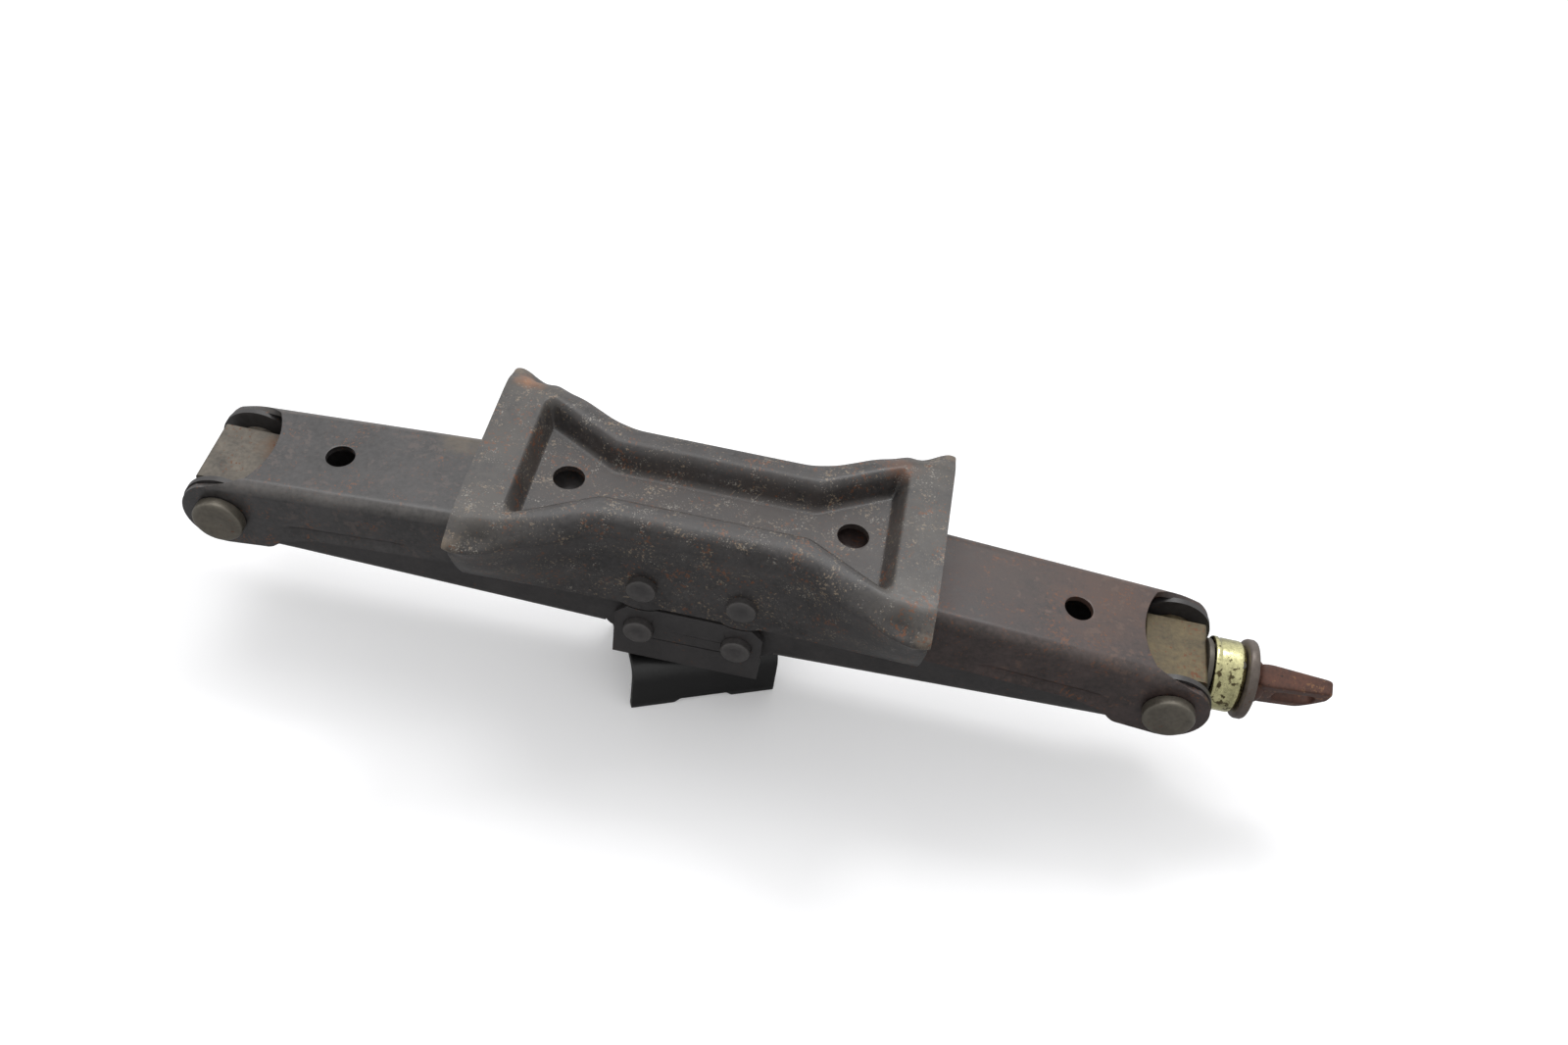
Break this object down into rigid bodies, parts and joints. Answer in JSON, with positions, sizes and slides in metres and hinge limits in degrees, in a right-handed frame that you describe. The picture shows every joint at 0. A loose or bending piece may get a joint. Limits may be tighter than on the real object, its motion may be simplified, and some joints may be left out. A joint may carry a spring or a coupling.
{
  "type": "scissor jack",
  "caption": "Folding screw-driven scissor jack with a bow-tie ground plate, geared channel arms, a swivelling load saddle and an eye on the screw for a crank hook.",
  "frame": {"origin": "on the plane the saddle's lips rest on, straight below the swivel rivet and the middle of the linkage, with the jack folded", "axes": "+X along the lead screw towards the crank eye, +Y across the jack towards its far flanges, +Z from the load saddle up to the ground plate (the jack is shown standing on its saddle; in use it is the other way up)"},
  "size_m": [0.4359, 0.097, 0.0995],
  "materials": {
    "arm_paint": "semi-gloss dark grey-black paint over pressed steel",
    "plate_paint": "semi-gloss black paint, worn with rust specks at the ends",
    "bracket_paint": "matt dark grey paint",
    "saddle_paint": "satin black paint",
    "rivet_steel": "painted over steel",
    "pin_steel": "dull grey-green steel",
    "forged_steel": "rough grey-tan forging",
    "zinc_plate": "yellow-green zinc plating",
    "screw_steel": "oiled steel with red-brown rust on the eye",
    "dark_steel": "dark brown-black steel",
    "bearing_steel": "hardened bearing steel"
  },
  "bodies": {
    "bracket": {"saddle_bracket": "bracket_paint", "swivel_rivet": "rivet_steel", "bracket_pivot_pin_left": "pin_steel", "bracket_pivot_pin_right": "pin_steel", "bracket_spacers": "pin_steel"},
    "saddle": {"load_saddle": "saddle_paint", "swivel_washer": "rivet_steel"},
    "saddle_arm_left": {"saddle_arm_left": "arm_paint"},
    "saddle_arm_right": {"saddle_arm_right": "arm_paint"},
    "base_arm_left": {"base_arm_left": "arm_paint"},
    "base_arm_right": {"base_arm_right": "arm_paint"},
    "nut_trunnion": {"nut_trunnion": "forged_steel", "nut_trunnion_pin_front": "pin_steel", "nut_trunnion_pin_back": "pin_steel"},
    "thrust_trunnion": {"thrust_trunnion": "zinc_plate", "thrust_trunnion_pin_front": "pin_steel", "thrust_trunnion_pin_back": "pin_steel", "thrust_race_inner": "bearing_steel", "thrust_balls": "bearing_steel"},
    "base": {"base_plate": "plate_paint", "base_pivot_pin_left": "pin_steel", "base_pivot_pin_right": "pin_steel"},
    "screw": {"lead_screw": "screw_steel", "bearing_collar": "zinc_plate", "thrust_washer": "dark_steel", "thrust_race_outer": "bearing_steel", "retaining_pin": "bearing_steel"}
  },
  "joints": [
    {"name": "lift", "type": "hinge", "parent": "bracket", "child": "saddle_arm_left", "pos_m": [-0.0187, 0, 0.044], "axis": [0, 1, 0], "range_deg": [0, 60.75]},
    {"name": "nut_trunnion_turn", "type": "hinge", "parent": "saddle_arm_left", "child": "nut_trunnion", "pos_m": [-0.18, 0, 0.056], "axis": [0, 1, 0], "range_deg": [-60.75, 0]},
    {"name": "base_arm_left_turn", "type": "hinge", "parent": "saddle_arm_left", "child": "base_arm_left", "pos_m": [-0.18, 0, 0.056], "axis": [0, 1, 0], "range_deg": [-121.5, 0]},
    {"name": "base_turn", "type": "hinge", "parent": "base_arm_left", "child": "base", "pos_m": [-0.0187, 0, 0.068], "axis": [0, 1, 0], "range_deg": [0, 60.75]},
    {"name": "saddle_arm_right_turn", "type": "hinge", "parent": "bracket", "child": "saddle_arm_right", "pos_m": [0.0187, 0, 0.044], "axis": [0, 1, 0], "range_deg": [-60.75, 0]},
    {"name": "thrust_trunnion_turn", "type": "hinge", "parent": "saddle_arm_right", "child": "thrust_trunnion", "pos_m": [0.18, 0, 0.056], "axis": [0, 1, 0], "range_deg": [0, 60.75]},
    {"name": "base_arm_right_turn", "type": "hinge", "parent": "saddle_arm_right", "child": "base_arm_right", "pos_m": [0.18, 0, 0.056], "axis": [0, 1, 0], "range_deg": [0, 121.5]},
    {"name": "screw_spin", "type": "hinge", "parent": "thrust_trunnion", "child": "screw", "pos_m": [0.18, 0, 0.056], "axis": [1, 0, 0], "continuous": true},
    {"name": "saddle_swivel", "type": "hinge", "parent": "bracket", "child": "saddle", "pos_m": [0, 0, 0.022], "axis": [0, 0, 1], "continuous": true}
  ],
  "couplings": [
    {"joint": "nut_trunnion_turn", "follows": "lift", "ratio": -1},
    {"joint": "base_arm_left_turn", "follows": "lift", "ratio": -2},
    {"joint": "base_turn", "follows": "lift", "ratio": 1},
    {"joint": "saddle_arm_right_turn", "follows": "lift", "ratio": -1},
    {"joint": "thrust_trunnion_turn", "follows": "lift", "ratio": 1},
    {"joint": "base_arm_right_turn", "follows": "lift", "ratio": 2}
  ]
}
